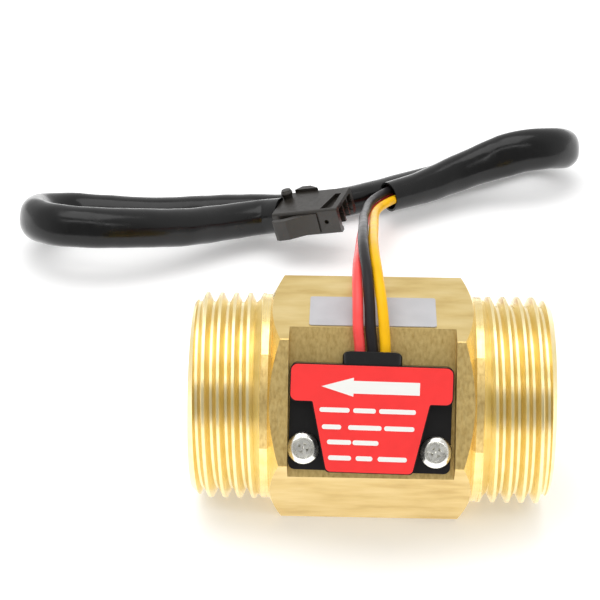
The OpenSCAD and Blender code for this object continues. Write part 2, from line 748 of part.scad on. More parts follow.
// Connector shell with three cavities, a latch lever on one side and a peg on top
module plug_housing() {
    edge_round = 0.5;
    peg_d = 1.9;
    peg_x = 1;
    peg_y = plug_w / 2 - 2.4;
    peg_h = 1.7;
    notch_l = 3.4;
    sight_d = 0.9;
    step_l = 1.6;
    step_h = 0.9;
    step_side = 1.6;
    color("#1e1e1e") on_plug() difference() {
        union() {
            rotate([90, 0, 90]) linear_extrude(plug_l) rounded_rect(plug_w, plug_h, edge_round);
            translate([0, -plug_w / 2, 0]) lever();
            translate([peg_x, peg_y, 0]) cylinder(h = plug_h / 2 + peg_h, d = peg_d);
            translate([plug_l / 7, plug_w / 2 - 0.3, plug_h / 2 - 0.6]) latch_wedge();
        }
        for (k = [-1 : 1]) at_cavity(k) translate([0, 0, -1]) square_bar(cavity_af, plug_l + 2);
        // Recess on top near the front, and a sight hole above the lever
        translate([plug_l - notch_l, 1.2 - plug_w / 2, plug_h / 2 - 0.7]) linear_extrude(2)
            polygon([[0, 0], [2.2, 0.4], [2.2, 2.6], [0.6, notch_l]]);
        translate([plug_l - 2.6, -plug_w / 2 - 1, 0]) rotate([-90, 0, 0]) cylinder(h = 2, d = sight_d);
        // Stepped lower front edge that the mating half slides under
        translate([plug_l - step_l, step_side - plug_w / 2, -plug_h / 2 - 1])
            cube([step_l + 1, plug_w - 2 * step_side, step_h + 1]);
    }
}

module terminal(k) {
    base_t = 1.5;
    foot = plug_l - terminal_l - terminal_set;
    color("silver") on_plug() at_cavity(k) translate([0, 0, foot]) difference() {
        square_bar(terminal_af, terminal_l);
        translate([0, 0, base_t]) square_bar(terminal_af - 2 * terminal_wall, terminal_l);
    }
}

module terminal_near() {
    terminal(-1);
}

module terminal_middle() {
    terminal(0);
}

module terminal_far() {
    terminal(1);
}

body();
inlet_guide();
inlet_bearing();
rotor();
rotor_shaft();
magnet_front();
magnet_rear();
outlet_bearing();
outlet_support();
retaining_ring();
sensor_housing();
circuit_board();
hall_sensor();
screw_left();
screw_right();
wire_gland();
flow_label();
silver_label();
red_wire();
black_wire();
yellow_wire();
cable_sleeve();
plug_housing();
terminal_near();
terminal_middle();
terminal_far();
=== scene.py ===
import math

import bmesh
import bpy
import numpy as np
from mathutils import Matrix, Vector


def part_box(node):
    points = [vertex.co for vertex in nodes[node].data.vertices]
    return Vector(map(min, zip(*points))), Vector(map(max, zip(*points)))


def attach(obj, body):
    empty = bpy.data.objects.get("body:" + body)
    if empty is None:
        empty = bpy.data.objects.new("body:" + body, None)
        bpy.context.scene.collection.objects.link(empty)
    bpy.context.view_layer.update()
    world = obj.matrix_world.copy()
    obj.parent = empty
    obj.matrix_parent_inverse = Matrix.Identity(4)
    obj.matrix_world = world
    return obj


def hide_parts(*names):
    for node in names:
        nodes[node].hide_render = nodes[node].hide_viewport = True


# Lengths are millimetres, and to_object() turns a finished mesh into metres.
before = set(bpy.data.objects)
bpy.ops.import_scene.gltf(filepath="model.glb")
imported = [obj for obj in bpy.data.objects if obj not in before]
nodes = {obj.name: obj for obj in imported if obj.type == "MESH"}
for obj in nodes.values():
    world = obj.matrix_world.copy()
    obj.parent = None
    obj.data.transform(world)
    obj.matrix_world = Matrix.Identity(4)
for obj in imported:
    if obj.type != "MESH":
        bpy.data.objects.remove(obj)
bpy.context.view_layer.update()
MM = 0.001


def node_box(name):
    low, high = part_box(name)
    return low / MM, high / MM


# Length that a turned or cutting solid runs past what it meets
SPARE = 1

# Body: HEX_AF is its width across the flats, and names with X are distances along the pipe from its middle
BODY_LOW, BODY_HIGH = node_box("body")
HEX_AF = BODY_HIGH.z - BODY_LOW.z
AXIS_Z = HEX_AF / 2
HALF_LENGTH = BODY_HIGH.x
HEX_HALF = 15.8
# How far the turned cones go along the pipe for each millimetre that they go inwards
HEX_CHAMFER = math.tan(math.radians(31))
HEX_CORNER_R = 0.35
THREAD_R = 16.625
ROOT_R = THREAD_R - 1.48
THREAD_PITCH = 2.309
CREST_LAND = 0.42
ROOT_LAND = 0.4
CREST_EASE = 0.08
COLLAR_R = 16.5
COLLAR_END = 17.42
COLLAR_EASE = 0.1
# Cone beside each collar, where the thread runs out
RUN_OUT = 1.35
RUN_OUT_R = ROOT_R - 0.13
END_CHAMFER = 1.5
MOUTH_CHAMFER = 0.8
# Distance along the pipe of a thread crest where it faces +Y, left and right
THREAD_PHASE = {-1: 0.68, 1: 2.12}
# Distance along the pipe where the threaded rod begins, left and right
ROD_START = {-1: -34, 1: 12}
ROD_RIDGES = 10
INLET_R = 11.7
CHAMBER_R = 11.0
OUTLET_R = 9.8
STEP_X = 8.5
SHOULDER_X = 13.5
CLIP_X = 14.5
CLIP_T = 1.2
CLIP_GROOVE = 0.8
OUTER_EDGE = 0.12
TURNED_STEPS = 192
# Distance under which two points count as one: in a CAD piece, and in a piece whose edges are eased
CAD_GAP = 0.0001
WELD_GAP = 0.001

# Lays what is turned about Z onto the pipe axis
ALONG_X = Matrix(((0, 0, 1, 0), (1, 0, 0, 0), (0, 1, 0, AXIS_Z), (0, 0, 0, 1)))
# Face that carries the sensor: x along the pipe, y up the face, z outward
FACE = Matrix(((1, 0, 0, 0), (0, 0.5, -math.sqrt(0.75), 0), (0, math.sqrt(0.75), 0.5, AXIS_Z), (0, 0, 0, 1)))
POCKET_FLOOR = 13.8
POCKET_W = 25.8
POCKET_REACH = 80
FACE_TOP = 18.2
FLANGE_TOP = 15.2
SCREW_X = 10.2
SCREW_Y = -7.1
TAP_D = 2.6
TAP_DEPTH = 2.5
# Width, height and corner radius of the well for the Hall sensor
WELL = (4.9, 3.8, 0.5)
WELL_DEPTH = 1.5
LABEL_T = 0.25
PRINT_T = 0.03
# Frame of the housing and all that it carries, a little askew in the pocket
HOUSING = FACE @ Matrix.Translation((-0.15, 0, 0)) @ Matrix.Rotation(math.radians(-0.9), 4, "Z")

# Gland: width, length, corner radius and middle of the outline that it is trimmed to, and the trim's levels
GLAND_OUTLINE = (9.3, 9, 1.1, 0, 3.6)
GLAND_LEVELS = (POCKET_FLOOR - 0.8, FACE_TOP + 0.8)

# Screws: (distance along its axis, radius) round a pan head screw, and round the cup of its cross recess
PAN_HEAD = [
    (-3.6, 0), (-3.6, 0.85), (-3.2, 1.25), (0, 1.25), (0, 2.44), (0.06, 2.5), (0.6, 2.5), (0.7, 2.46),
    (0.86, 2.32), (0.99, 2.13), (1.12, 1.9), (1.2, 1.7), (1.21, 1.6), (1.1, 1.5), (1.1, 1.4), (1.2, 1.3),
    (1.22, 0),
]
RECESS_CUP = [(0.2, 0), (0.6, 0.35), (1.4, 1.0), (2.5, 1.0), (2.5, 0)]
RECESS_LENGTH = 2.7
RECESS_WIDTH = 0.6
RECESS_LEVELS = (0.4, 2.5)

# Connector: origin in the middle of its rear end, x towards its front
PLUG_REAR = Vector((-17.5, 79.5, 7.4))
PLUG = (Matrix.Translation(PLUG_REAR) @ Matrix.Rotation(math.radians(-16), 4, "Z")
        @ Matrix.Rotation(math.radians(-15), 4, "Y"))
PLUG_L = 13.8
PLUG_W = 10.0
# The same frame with z towards the connector's front
PLUG_AHEAD = PLUG @ Matrix(((0, 0, 1, 0), (1, 0, 0, 0), (0, 1, 0, 0), (0, 0, 0, 1)))
TERMINAL_PITCH = 2.7
# Middle of the peg, and (height, radius) round the knob on it
PEG = (1, 2.6, 0)
KNOB = [(3, 0), (3, 0.85), (3.3, 1.12), (3.8, 1.2), (4.15, 1.08), (4.35, 0.8), (4.4, 0)]
# Plate under the lever, put there to block light from below so that the gap above it is in shade: (distance
# along the connector, distance out from its side), and its levels
GAP_SHADE_PLATE = [(0.75, -0.2), (0.75, 1.5), (2.9, 1.3), (6.3, -0.2)]
GAP_SHADE_PLATE_LEVELS = (-2.05, -0.3)
# Recess in the front of its top
TOP_RECESS = [(10.2, -4.3), (12.7, -4.3), (12.7, 2.2), (11.5, 2.2)]
TOP_RECESS_LEVELS = (1.85, 4)
# Width, height and corner radius of a terminal's mouth
MOUTH = (2.15, 3.7, 0.25)
MOUTH_DEPTH = 1.1

# Cords
WIRE_D = 1.7
SLEEVE_WALL = 0.45
WIRE_SPACING = 1.95
WIRE_START = 2.7
WIRE_EXIT = 8.1
WIRE_LEVEL = 16.0
# Bend of the wires at the sleeve's mouth, in points of the path: how far its middle is from the end, how far
# it reaches to either side, and how often it is eased
MOUTH_BEND = 10
MOUTH_BEND_REACH = 18
MOUTH_BEND_ROUNDS = 200
SLEEVE_ROUTE = [
    (4, 90, 6.5), (11, 94.5, 6.6), (18, 98.8, 7.6), (25, 101.5, 9.3), (31.5, 102, 11.4),
    (38, 104.2, 11.2), (41.8, 109.2, 8.7), (40.3, 114.8, 5.8), (33.8, 116.2, 4.1), (25, 111, 3.9),
    (16, 106, 3.9), (8, 101.4, 3.9), (0, 96.6, 3.9), (-9, 92.3, 3.9), (-20, 88.9, 3.9),
    (-32, 86.7, 3.9), (-44, 84.9, 3.9), (-54, 85.3, 3.9), (-61.5, 84.6, 4.6), (-66.3, 79.6, 6.8),
    (-66.3, 72.5, 9.6), (-61.5, 67, 11.3), (-54, 65.8, 11.4), (-45, 68.4, 10), (-37, 72.6, 8),
    (-29.6, 77.7, 6.4), tuple(PLUG @ Vector((-5, 0, 0))), tuple(PLUG_REAR),
]
RED_ROUTE = [
    (-2.3, -8, 35), (-2.4, -5, 37.5), (-2.5, 0, 39.1), (-2.4, 6, 38.8), (-2.1, 13, 37.1),
    (-1.9, 22, 34), (-1.7, 33, 29), (-1.5, 45, 23.2), (-1.2, 57, 17.5), (-0.9, 68, 12.7),
    (-0.5, 78, 8.8), (-0.1, 84.5, 6.6), (0.9, 88.5, 5.7),
]
BLACK_ROUTE = [
    (-0.4, -8, 35), (-0.6, -5, 37.8), (-1, 0, 40.1), (-1.5, 6, 40.5), (-1.7, 13, 39.2),
    (-1.6, 22, 36.1), (-1.5, 33, 31.1), (-1.4, 45, 25.3), (-1.3, 57, 19.6), (-0.8, 68, 14.8),
    (-0.3, 78, 10.9), (0.1, 84.2, 8.9), (0.9, 88.6, 7.8),
]
YELLOW_ROUTE = [
    (1.7, -8, 35), (1.3, -5, 37.8), (0.7, 0, 39.6), (0.2, 6, 39.8), (0, 13, 38.4),
    (0.1, 22, 35.3), (0.3, 33, 30.6), (0.5, 45, 24.8), (0.7, 57, 19.1), (1, 68, 14.3),
    (1.6, 78, 9.9), (1.8, 83, 8), (2.4, 86.7, 6.8),
]
# Flattened sleeve: distance along it, half its height as the camera sees it, half its thickness
SLEEVE_SHAPE = np.array([
    (0, 3.1, 3.2), (6, 3.3, 3.3), (15, 3.75, 3.4), (22, 4.05, 3.4), (28, 4.55, 3.2), (36, 4.4, 3.2),
    (48, 4.2, 3.3), (62, 3.3, 3.8), (80, 3.05, 3.8), (112, 3.1, 3.7), (130, 3.8, 3.5), (150, 4.1, 3.3),
    (172, 4.3, 3.2), (200, 3.9, 3.4), (225, 3.6, 3.5), (235, 3.5, 3.5),
])
# Distance along it, and how far the sleeve has sunk towards the floor there
SLEEVE_SAG = np.array([(0, 0), (54, 0), (64, 0.85), (112, 0.85), (124, 0)])
# Direction that the flattened sleeve stands up in
SLEEVE_UP = np.array((0, 0.515, 0.857))
FLOOR_CLEARANCE = 0.03
# How deep its creases are, and the distance along it by which they have set in
CREASING = 0.3
CREASES_SET = 8

# Camera, at the photograph's angle
CAMERA_AT = (-3.61, -249.63, 184.49)
CAMERA_TOWARDS = (-0.0271, 0.8578, -0.5132)
CAMERA_LENS = 110.88

# Stretch of a noise's values that colours and roughness vary over
NOISE_LOW = 0.3
NOISE_HIGH = 0.7


# Camera
def add_camera():
    data = bpy.data.cameras.new("camera")
    data.sensor_width = 36
    data.lens = CAMERA_LENS
    data.clip_start = 0.01
    data.clip_end = 10
    camera = bpy.data.objects.new("camera", data)
    camera.location = Vector(CAMERA_AT) * MM
    camera.rotation_euler = Vector(CAMERA_TOWARDS).to_track_quat("-Z", "Y").to_euler()
    bpy.context.scene.collection.objects.link(camera)
    bpy.context.scene.camera = camera


# Meshes
def to_object(name, bm, smooth_angle=35):
    """Object from a bmesh in millimetres, shaded smooth up to the given angle."""
    bmesh.ops.recalc_face_normals(bm, faces=bm.faces)
    mesh = bpy.data.meshes.new(name)
    bm.to_mesh(mesh)
    bm.free()
    mesh.transform(Matrix.Scale(MM, 4))
    obj = bpy.data.objects.new(name, mesh)
    bpy.context.scene.collection.objects.link(obj)
    mesh.shade_smooth()
    mesh.set_sharp_from_angle(angle=math.radians(smooth_angle))
    return obj


def bmesh_from(verts, faces):
    bm = bmesh.new()
    made = [bm.verts.new(v) for v in verts]
    for face in faces:
        bm.faces.new([made[i] for i in face])
    return bm


def prism(outline, low, high, matrix):
    """Outline in the xy plane, drawn out from z = low to z = high and then placed by the matrix."""
    n = len(outline)
    verts = [matrix @ Vector((x, y, z)) for z in (low, high) for x, y in outline]
    sides = [(i, (i + 1) % n, n + (i + 1) % n, n + i) for i in range(n)]
    return bmesh_from(verts, [tuple(range(n))[::-1], tuple(range(n, 2 * n)), *sides])


def arc(cx, cy, r, start, end, steps):
    angles = [math.radians(start + (end - start) * i / steps) for i in range(steps + 1)]
    return [(cx + r * math.cos(a), cy + r * math.sin(a)) for a in angles]


def circle(cx, cy, r, steps=24):
    return arc(cx, cy, r, 0, 360 - 360 / steps, steps - 1)


def rect(w, h):
    return [(-w / 2, -h / 2), (w / 2, -h / 2), (w / 2, h / 2), (-w / 2, h / 2)]


def rounded_rect(w, h, r, cx=0.0, cy=0.0):
    x, y = w / 2 - r, h / 2 - r
    corners = [(x, y, 0), (-x, y, 90), (-x, -y, 180), (x, -y, 270)]
    return [p for px, py, a in corners for p in arc(cx + px, cy + py, r, a, a + 90, 4)]


def lathe(profile, steps=TURNED_STEPS, place=ALONG_X):
    """Solid turned about Z from a closed outline of (distance along it, radius), and then placed."""
    verts, rings = [], []
    for x, r in profile:
        count = steps if r > 0 else 1
        rings.append([len(verts) + (i if r > 0 else 0) for i in range(steps)])
        for i in range(count):
            a = 2 * math.pi * i / steps
            verts.append(place @ Vector((r * math.cos(a), r * math.sin(a), x)))
    faces = []
    for a, b in zip(rings, rings[1:] + rings[:1]):
        for i in range(steps):
            j = (i + 1) % steps
            face = list(dict.fromkeys((a[i], a[j], b[j], b[i])))
            if len(face) > 2:
                faces.append(face)
    return bmesh_from(verts, faces)


def combine(bm, tool, operation):
    """The first solid with the second one added, cut away or kept in common."""
    scratch = []
    for part in (bm, tool):
        bmesh.ops.recalc_face_normals(part, faces=part.faces)
        if part.calc_volume(signed=True) < 0:
            bmesh.ops.reverse_faces(part, faces=part.faces)
        mesh = bpy.data.meshes.new("scratch")
        part.to_mesh(mesh)
        part.free()
        obj = bpy.data.objects.new("scratch", mesh)
        bpy.context.scene.collection.objects.link(obj)
        scratch.append(obj)
    modifier = scratch[0].modifiers.new("cut", "BOOLEAN")
    modifier.operation = operation
    modifier.object = scratch[1]
    modifier.solver = "MANIFOLD"
    result = bmesh.new()
    graph = bpy.context.evaluated_depsgraph_get()
    result.from_mesh(scratch[0].evaluated_get(graph).to_mesh())
    for obj in scratch:
        mesh = obj.data
        bpy.data.objects.remove(obj)
        bpy.data.meshes.remove(mesh)
    return result


# Modifiers
def weigh_normals(obj):
    modifier = obj.modifiers.new("normals", "WEIGHTED_NORMAL")
    modifier.keep_sharp = True


def ease(obj, width):
    """Breaks the edges of an object by the given width."""
    weld = obj.modifiers.new("weld", "WELD")
    weld.merge_threshold = WELD_GAP * MM
    bevel = obj.modifiers.new("edges", "BEVEL")
    bevel.width = width * MM
    bevel.segments = 2
    bevel.limit_method = "ANGLE"
    bevel.angle_limit = math.radians(40)
    weigh_normals(obj)


def dress(name, finish, edge):
    """Gives a CAD node its material, and breaks its edges by the given width, if any."""
    obj = nodes[name]
    obj.data.materials.clear()
    obj.data.materials.append(finish)
    if edge:
        ease(obj, edge)


def stand_in(obj, name, finish=None):
    """Lets an object ride on the still part of the frame, in place of a CAD node."""
    if finish:
        obj.data.materials.append(finish)
    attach(obj, "root")
    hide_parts(name)


# Cords
def smooth_route(points, spacing=0.8):
    """Evenly spaced points on one smooth curve through the route, and how far along it each one is."""
    p = np.array(points, float)
    p = np.vstack([2 * p[0] - p[1], p, 2 * p[-1] - p[-2]])
    t = np.linspace(0, 1, 24, endpoint=False)[:, None]
    fine = []
    for a, b, c, d in zip(p, p[1:], p[2:], p[3:]):
        fine.append(0.5 * (2 * b + (c - a) * t + (2 * a - 5 * b + 4 * c - d) * t**2
                           + (3 * b - a - 3 * c + d) * t**3))
    fine = np.vstack([*fine, p[-2:-1]])
    run = np.concatenate([[0], np.cumsum(np.linalg.norm(np.diff(fine, axis=0), axis=1))])
    even = np.linspace(0, run[-1], max(2, round(run[-1] / spacing)) + 1)
    return np.stack([np.interp(even, run, fine[:, k]) for k in range(3)], axis=1), even


def directions(path):
    """Direction of the path at each of its points."""
    along = np.gradient(path, axis=0)
    return along / np.linalg.norm(along, axis=1)[:, None]


def sections(path):
    """Two directions across the path at each of its points, carried along without twist."""
    side = np.array((0.3, 0.2, 1.0))
    pairs = []
    for t in directions(path):
        side = side - t * (side @ t)
        side /= np.linalg.norm(side)
        pairs.append((side, np.cross(t, side)))
    return pairs


def tube(path, radius, steps):
    """Solid with sections across the path; radius(i, angle, outward) may vary along and round it."""
    verts, faces = [], []
    for i, (a, b) in enumerate(sections(path)):
        for k in range(steps):
            t = 2 * math.pi * k / steps
            out = math.cos(t) * a + math.sin(t) * b
            verts.append(path[i] + radius(i, t, out) * out)
    last = (len(path) - 1) * steps
    for start in range(0, last, steps):
        for k in range(steps):
            m = (k + 1) % steps
            faces.append((start + k, start + m, start + steps + m, start + steps + k))
    faces += [tuple(range(steps)), tuple(range(last, last + steps))]
    return bmesh_from([tuple(v) for v in verts], faces)


def housing_point(x, y, z):
    return tuple(HOUSING @ Vector((x, y, z)))


def mouth_frame():
    """Middle, direction and side of the sleeve's open end."""
    middle = Vector(SLEEVE_ROUTE[0])
    along = (Vector(SLEEVE_ROUTE[1]) - middle).normalized()
    return middle, along, Vector((0, 0, 1)).cross(along).normalized()


def wire_route(start_x, middle, side, up):
    """The whole route of a wire, from beside the board to inside the sleeve."""
    at, along, across = mouth_frame()
    at = at + side * across + up * along.cross(across)
    begin = [housing_point(start_x, y, WIRE_LEVEL) for y in (WIRE_START, WIRE_EXIT)]
    return [*begin, *middle, tuple(at - along), tuple(at + WIRE_D * along)]


def relaxed(path):
    """The path with its bend at the sleeve's mouth spread out, less and less away from it."""
    middle = len(path) - MOUTH_BEND
    eased = path.copy()
    inner = np.arange(1, len(path) - 1)
    share = 0.5 * np.clip(1 - np.abs(inner - middle) / MOUTH_BEND_REACH, 0, 1)[:, None]
    for _ in range(MOUTH_BEND_ROUNDS):
        eased[inner] += share * ((eased[inner - 1] + eased[inner + 1]) / 2 - eased[inner])
    return eased


def add_wire(name, start_x, middle, side, up):
    """Wire whose mesh bends a little more gently at the sleeve's mouth than its cord does."""
    path, run = smooth_route(wire_route(start_x, middle, side, up))
    obj = to_object(name + "_insulation", tube(relaxed(path), lambda i, t, out: WIRE_D / 2, steps=20))
    stand_in(obj, name)
    return obj


def sleeve_radius(path, run, inset=0.0):
    """Radius for tube() of the flattened and creased sleeve, which stays just above the floor."""
    along = directions(path)
    up = SLEEVE_UP - along * (along @ SLEEVE_UP)[:, None]
    up /= np.linalg.norm(up, axis=1)[:, None]
    high, thin = (np.interp(run, SLEEVE_SHAPE[:, 0], SLEEVE_SHAPE[:, k]) - inset for k in (1, 2))

    def radius(i, t, out):
        rise = float(out @ up[i])
        r = high[i] * thin[i] / math.sqrt((thin[i] * rise) ** 2 + high[i] ** 2 * (1 - rise * rise))
        s = run[i]
        crease = 0.05 * math.sin(3 * t + 0.05 * s) + 0.04 * math.sin(5 * t - 0.035 * s + 1)
        ripple = 0.03 * math.sin(0.9 * s + 2 * t) * math.sin(0.11 * s)
        r *= 1 + min(1.0, s / CREASES_SET) * CREASING * (crease + ripple)
        floor_gap = path[i][2] - FLOOR_CLEARANCE
        drop = -out[2]
        return min(r, floor_gap / drop) if drop * r > floor_gap else r

    return radius


def add_sleeve():
    """Sleeve with a short hollow mouth, and with the connector on its other end."""
    path, run = smooth_route(SLEEVE_ROUTE, spacing=0.7)
    sunk = path.copy()
    sunk[:, 2] -= np.interp(run, SLEEVE_SAG[:, 0], SLEEVE_SAG[:, 1])
    bm = tube(sunk, sleeve_radius(sunk, run), steps=48)
    bore_path, bore_run = smooth_route(path[:20:4], spacing=0.7)
    bore_path[0] -= bore_path[1] - bore_path[0]
    bore = tube(bore_path, sleeve_radius(bore_path, bore_run, SLEEVE_WALL), steps=48)
    bm = combine(bm, bore, "DIFFERENCE")
    obj = to_object("cable_sleeve_tube", bm, smooth_angle=40)
    stand_in(obj, "cable_sleeve")
    return obj


# Brass body
def threaded_rod(side):
    """Rod with a right handed thread, longer at both ends than the stretch of it that is kept."""
    half_crest = CREST_LAND / 2
    half_pitch = THREAD_PITCH / 2
    ridge = [
        (ROOT_LAND / 2 - half_pitch, ROOT_R), (-half_crest - CREST_EASE, THREAD_R - CREST_EASE),
        (-half_crest, THREAD_R), (half_crest, THREAD_R), (half_crest + CREST_EASE, THREAD_R - CREST_EASE),
        (half_pitch - ROOT_LAND / 2, ROOT_R),
    ]
    first = math.floor(ROD_START[side] / THREAD_PITCH)
    crests = [THREAD_PHASE[side] + k * THREAD_PITCH for k in range(first, first + ROD_RIDGES)]
    rows = [(crest + dx, r) for crest in crests for dx, r in ridge]
    steps = TURNED_STEPS
    per_turn = len(ridge)
    verts = []
    for j in range(steps):
        a = 2 * math.pi * j / steps
        for x, r in rows:
            verts.append((x + THREAD_PITCH * j / steps, r * math.cos(a), AXIS_Z + r * math.sin(a)))

    def at(i, j):
        """Number of point i in column j; after the last column the first one follows, a turn further on."""
        return (j % steps) * len(rows) + i + (per_turn if j == steps else 0)

    faces = []
    for j in range(steps):
        count = len(rows) - 1 - (per_turn if j == steps - 1 else 0)
        faces += [(at(i, j), at(i + 1, j), at(i + 1, j + 1), at(i, j + 1)) for i in range(count)]
    top = len(rows) - 1
    low_edge = [at(0, j) for j in range(steps)] + [at(i, 0) for i in range(per_turn, 0, -1)]
    high_edge = [at(top, j) for j in range(steps)] + [at(top - i, steps - 1) for i in range(1, per_turn + 1)]
    for edge, tip in ((low_edge, rows[0][0] - 2), (high_edge, rows[-1][0] + 4)):
        verts.append((tip, 0, AXIS_Z))
        faces += [(edge[i], edge[(i + 1) % len(edge)], len(verts) - 1) for i in range(len(edge))]
    return bmesh_from(verts, faces)


def threaded_end(side):
    """The stretch of the threaded rod from inside the collar to the chamfered end of the body."""
    foot = COLLAR_END - 0.2
    out_r = THREAD_R + SPARE
    outline = [(foot, 0), (foot, out_r), (HALF_LENGTH - END_CHAMFER + THREAD_R - out_r, out_r),
               (HALF_LENGTH, THREAD_R - END_CHAMFER), (HALF_LENGTH, 0)]
    return combine(threaded_rod(side), lathe([(side * x, r) for x, r in outline]), "INTERSECT")


def collar(side):
    """Collar with the cone beside it."""
    foot = HEX_HALF - SPARE
    cone_end = COLLAR_END + RUN_OUT
    outline = [(foot, 0), (foot, COLLAR_R), (COLLAR_END - COLLAR_EASE, COLLAR_R),
               (COLLAR_END, COLLAR_R - COLLAR_EASE), (cone_end, RUN_OUT_R), (cone_end, 0)]
    return lathe([(side * x, r) for x, r in outline])


def hexagon():
    """Hexagon with rounded corners, cut back by a turned cone at each end."""
    in_r = COLLAR_R - SPARE
    out_r = HEX_AF / math.sqrt(3) + SPARE
    tip = HEX_HALF + (HEX_AF / 2 - in_r) * HEX_CHAMFER
    edge = HEX_HALF - (out_r - HEX_AF / 2) * HEX_CHAMFER
    inner = HEX_AF / math.sqrt(3) - HEX_CORNER_R / math.cos(math.radians(30))
    outline = []
    for k in range(6):
        a = math.radians(60 * k)
        outline += arc(inner * math.cos(a), inner * math.sin(a), HEX_CORNER_R, 60 * k - 30, 60 * k + 30, 4)
    cones = lathe([(-tip, 0), (-tip, in_r), (-edge, out_r), (edge, out_r), (tip, in_r), (tip, 0)])
    return combine(prism(outline, -tip, tip, ALONG_X), cones, "INTERSECT")


def water_way():
    """Stepped bore with a shoulder, a ring groove and a chamfer at each mouth."""
    end = HALF_LENGTH + SPARE
    mouth_end = HALF_LENGTH - MOUTH_CHAMFER
    groove_end = CLIP_X + CLIP_T
    groove_r = INLET_R + CLIP_GROOVE
    return lathe([
        (-end, 0), (-end, OUTLET_R + MOUTH_CHAMFER + SPARE), (-mouth_end, OUTLET_R),
        (-SHOULDER_X, OUTLET_R), (-SHOULDER_X, CHAMBER_R), (STEP_X, CHAMBER_R), (STEP_X, INLET_R),
        (CLIP_X, INLET_R), (CLIP_X, groove_r), (groove_end, groove_r), (groove_end, INLET_R),
        (mouth_end, INLET_R), (end, INLET_R + MOUTH_CHAMFER + SPARE), (end, 0),
    ])


def ease_edges(bm):
    """Breaks the sharp outer edges of the hexagon and of the pocket."""
    bore_side = 13
    hex_side = HEX_HALF + 0.2
    sharp = math.radians(22)
    chosen = []
    for edge in bm.edges:
        if len(edge.link_faces) != 2 or not edge.is_convex:
            continue
        spots = [(abs(v.co.x), math.hypot(v.co.y, v.co.z - AXIS_Z)) for v in edge.verts]
        outside = all(x < hex_side and rho > bore_side for x, rho in spots)
        if outside and edge.calc_face_angle() > sharp:
            chosen.append(edge)
    bmesh.ops.bevel(bm, geom=chosen, offset=OUTER_EDGE, segments=2, profile=0.5, affect="EDGES",
                    clamp_overlap=True)


def brass_region(center, normal):
    """Finish of a face: 0 turned, 1 drawn, 2 milled or the front flat, 3 thread."""
    x = abs(center.x)
    rho = math.hypot(center.y, center.z - AXIS_Z)
    near = 0.1
    flats_from = 14.2
    if x > COLLAR_END - COLLAR_EASE / 2 and rho > ROOT_R - near:
        return 3
    if normal.dot(FACE.col[2].xyz) > 0.9 and rho > POCKET_FLOOR - near:
        return 2
    if abs(normal.x) > 0.98 and x < POCKET_W / 2 + near and rho > POCKET_FLOOR:
        return 2
    if abs(normal.x) < 0.1 and rho > flats_from and x < HEX_HALF:
        return 1
    return 0


def add_body(finishes):
    """The brass body, with a finish for each number that brass_region() gives."""
    bm = hexagon()
    for side in (-1, 1):
        bm = combine(bm, combine(collar(side), threaded_end(side), "UNION"), "UNION")
    bm = combine(bm, water_way(), "DIFFERENCE")
    bm = combine(bm, prism(rect(POCKET_W, POCKET_REACH), POCKET_FLOOR, HEX_AF, FACE), "DIFFERENCE")
    ease_edges(bm)
    wells = [(rounded_rect(*WELL), WELL_DEPTH)]
    wells += [(circle(side * SCREW_X, SCREW_Y, TAP_D / 2), TAP_DEPTH) for side in (-1, 1)]
    for outline, depth in wells:
        bm = combine(bm, prism(outline, POCKET_FLOOR - depth, HEX_AF, HOUSING), "DIFFERENCE")
    obj = to_object("brass_body", bm, smooth_angle=33)
    for finish in finishes:
        obj.data.materials.append(finish)
    for poly in obj.data.polygons:
        poly.material_index = brass_region(poly.center / MM, poly.normal)
    weigh_normals(obj)
    stand_in(obj, "body")


# Screws
def add_screw(name, side, turn, finish):
    """Pan head screw with a rounded rim, a flat middle and a cross recess with a wide cup."""
    place = (HOUSING @ Matrix.Translation((side * SCREW_X, SCREW_Y, FLANGE_TOP))
             @ Matrix.Rotation(math.radians(turn), 4, "Z"))
    bm = lathe(PAN_HEAD, steps=64, place=place)
    for arm in (rect(RECESS_LENGTH, RECESS_WIDTH), rect(RECESS_WIDTH, RECESS_LENGTH)):
        bm = combine(bm, prism(arm, *RECESS_LEVELS, place), "DIFFERENCE")
    bm = combine(bm, lathe(RECESS_CUP, steps=32, place=place), "DIFFERENCE")
    obj = to_object(name + "_pan_head", bm, smooth_angle=30)
    weigh_normals(obj)
    stand_in(obj, name, finish)


# Gland and connector
def cad_solid(name):
    """A CAD piece as one closed solid in millimetres."""
    bm = bmesh.new()
    bm.from_mesh(nodes[name].data)
    bmesh.ops.transform(bm, matrix=Matrix.Scale(1 / MM, 4) @ nodes[name].matrix_world, verts=bm.verts)
    bmesh.ops.remove_doubles(bm, verts=bm.verts, dist=CAD_GAP)
    return bm


def add_gland(finish):
    """The rubber block with the corners of its free end rounded as the camera sees them."""
    trim = prism(rounded_rect(*GLAND_OUTLINE), *GLAND_LEVELS, HOUSING)
    bm = combine(cad_solid("wire_gland"), trim, "INTERSECT")
    obj = to_object("gland_block", bm, smooth_angle=30)
    ease(obj, width=0.25)
    stand_in(obj, "wire_gland", finish)


